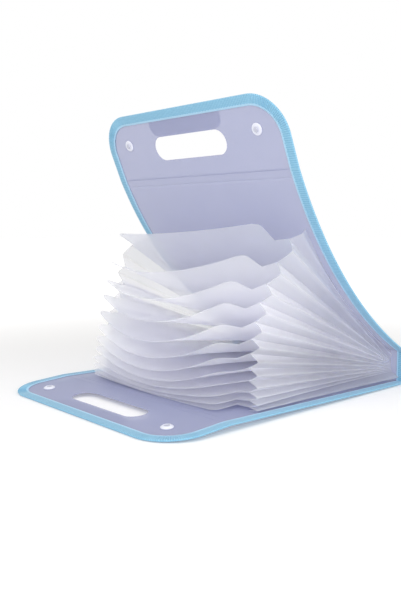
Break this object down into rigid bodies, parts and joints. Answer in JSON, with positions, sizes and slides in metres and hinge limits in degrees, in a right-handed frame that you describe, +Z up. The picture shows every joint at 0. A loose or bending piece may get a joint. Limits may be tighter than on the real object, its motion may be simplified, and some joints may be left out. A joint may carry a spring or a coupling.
{
  "type": "accordion file folder",
  "caption": "Expanding file folder standing open on its back cover, with fanned dividers between pleated side gussets, a taped edge, grip slots and press studs.",
  "frame": {"origin": "on the table, at the middle of the open folder's footprint", "axes": "+X from the grip end to the spine, +Y along the spine, +Z up from the table"},
  "size_m": [0.3159, 0.2506, 0.2701],
  "materials": {
    "cover_sheet": "fine-grained translucent polypropylene sheet",
    "binding_tape": "woven grosgrain tape, sewn",
    "snap_plastic": "moulded white plastic",
    "divider_film": "frosted clear polypropylene film",
    "gusset_film": "frosted clear polypropylene film"
  },
  "bodies": {
    "back_cover": {"back_cover": "cover_sheet", "back_binding": "binding_tape", "spine_panel": "cover_sheet", "spine_binding": "binding_tape", "near_gusset": "gusset_film", "far_gusset": "gusset_film"},
    "front_cover": {"front_cover": "cover_sheet", "front_binding": "binding_tape"},
    "front_flap": {"front_handle_flap": "cover_sheet", "front_flap_binding": "binding_tape", "front_snap_stud_near": "snap_plastic", "front_snap_stud_far": "snap_plastic", "front_snap_cap_near": "snap_plastic", "front_snap_cap_far": "snap_plastic"},
    "back_flap": {"back_handle_flap": "cover_sheet", "back_flap_binding": "binding_tape", "back_snap_socket_near": "snap_plastic", "back_snap_socket_far": "snap_plastic", "back_snap_cap_near": "snap_plastic", "back_snap_cap_far": "snap_plastic"},
    "divider_01": {"divider_01": "divider_film"},
    "divider_02": {"divider_02": "divider_film"},
    "divider_03": {"divider_03": "divider_film"},
    "divider_04": {"divider_04": "divider_film"},
    "divider_05": {"divider_05": "divider_film"},
    "divider_06": {"divider_06": "divider_film"},
    "divider_07": {"divider_07": "divider_film"},
    "divider_08": {"divider_08": "divider_film"},
    "divider_09": {"divider_09": "divider_film"},
    "divider_10": {"divider_10": "divider_film"},
    "divider_11": {"divider_11": "divider_film"},
    "divider_12": {"divider_12": "divider_film"}
  },
  "joints": [
    {"name": "front_cover_fold", "type": "hinge", "parent": "back_cover", "child": "front_cover", "pos_m": [0.15701, 0, 0.0331], "axis": [0, 1, 0], "range_deg": [-45.7, 12], "deforming": ["near_gusset", "far_gusset", "front_cover", "front_binding"]},
    {"name": "divider_01_fold", "type": "hinge", "parent": "back_cover", "child": "divider_01", "pos_m": [0.15701, 0, 0.0331], "axis": [0, 1, 0], "range_deg": [-37.41, 9.83]},
    {"name": "divider_02_fold", "type": "hinge", "parent": "back_cover", "child": "divider_02", "pos_m": [0.15701, 0, 0.0331], "axis": [0, 1, 0], "range_deg": [-31.93, 8.39]},
    {"name": "divider_03_fold", "type": "hinge", "parent": "back_cover", "child": "divider_03", "pos_m": [0.15701, 0, 0.0331], "axis": [0, 1, 0], "range_deg": [-26.83, 7.05]},
    {"name": "divider_04_fold", "type": "hinge", "parent": "back_cover", "child": "divider_04", "pos_m": [0.15701, 0, 0.0331], "axis": [0, 1, 0], "range_deg": [-22.11, 5.81]},
    {"name": "divider_05_fold", "type": "hinge", "parent": "back_cover", "child": "divider_05", "pos_m": [0.15701, 0, 0.0331], "axis": [0, 1, 0], "range_deg": [-17.78, 4.68]},
    {"name": "divider_06_fold", "type": "hinge", "parent": "back_cover", "child": "divider_06", "pos_m": [0.15701, 0, 0.0331], "axis": [0, 1, 0], "range_deg": [-13.87, 3.65]},
    {"name": "divider_07_fold", "type": "hinge", "parent": "back_cover", "child": "divider_07", "pos_m": [0.15701, 0, 0.0331], "axis": [0, 1, 0], "range_deg": [-10.39, 2.74]},
    {"name": "divider_08_fold", "type": "hinge", "parent": "back_cover", "child": "divider_08", "pos_m": [0.15701, 0, 0.0331], "axis": [0, 1, 0], "range_deg": [-7.37, 1.94]},
    {"name": "divider_09_fold", "type": "hinge", "parent": "back_cover", "child": "divider_09", "pos_m": [0.15701, 0, 0.0331], "axis": [0, 1, 0], "range_deg": [-4.83, 1.28]},
    {"name": "divider_10_fold", "type": "hinge", "parent": "back_cover", "child": "divider_10", "pos_m": [0.15701, 0, 0.0331], "axis": [0, 1, 0], "range_deg": [-2.83, 0.75]},
    {"name": "divider_11_fold", "type": "hinge", "parent": "back_cover", "child": "divider_11", "pos_m": [0.15701, 0, 0.0331], "axis": [0, 1, 0], "range_deg": [-1.43, 0.38]},
    {"name": "divider_12_fold", "type": "hinge", "parent": "back_cover", "child": "divider_12", "pos_m": [0.15701, 0, 0.0331], "axis": [0, 1, 0], "range_deg": [-0.81, 0.22]},
    {"name": "front_flap_fold", "type": "hinge", "parent": "front_cover", "child": "front_flap", "pos_m": [-0.01353, 0, 0.20785], "axis": [0, 1, 0], "range_deg": [-30, 45]},
    {"name": "back_flap_fold", "type": "hinge", "parent": "back_cover", "child": "back_flap", "pos_m": [-0.09105, 0, 0.00532], "axis": [0, 1, 0], "range_deg": [0, 15]}
  ],
  "couplings": [
    {"joint": "divider_01_fold", "follows": "front_cover_fold", "ratio": 0.81838},
    {"joint": "divider_02_fold", "follows": "front_cover_fold", "ratio": 0.69858},
    {"joint": "divider_03_fold", "follows": "front_cover_fold", "ratio": 0.5869},
    {"joint": "divider_04_fold", "follows": "front_cover_fold", "ratio": 0.48357},
    {"joint": "divider_05_fold", "follows": "front_cover_fold", "ratio": 0.38892},
    {"joint": "divider_06_fold", "follows": "front_cover_fold", "ratio": 0.3033},
    {"joint": "divider_07_fold", "follows": "front_cover_fold", "ratio": 0.22713},
    {"joint": "divider_08_fold", "follows": "front_cover_fold", "ratio": 0.16096},
    {"joint": "divider_09_fold", "follows": "front_cover_fold", "ratio": 0.10547},
    {"joint": "divider_10_fold", "follows": "front_cover_fold", "ratio": 0.06166},
    {"joint": "divider_11_fold", "follows": "front_cover_fold", "ratio": 0.03109},
    {"joint": "divider_12_fold", "follows": "front_cover_fold", "ratio": 0.01751}
  ]
}
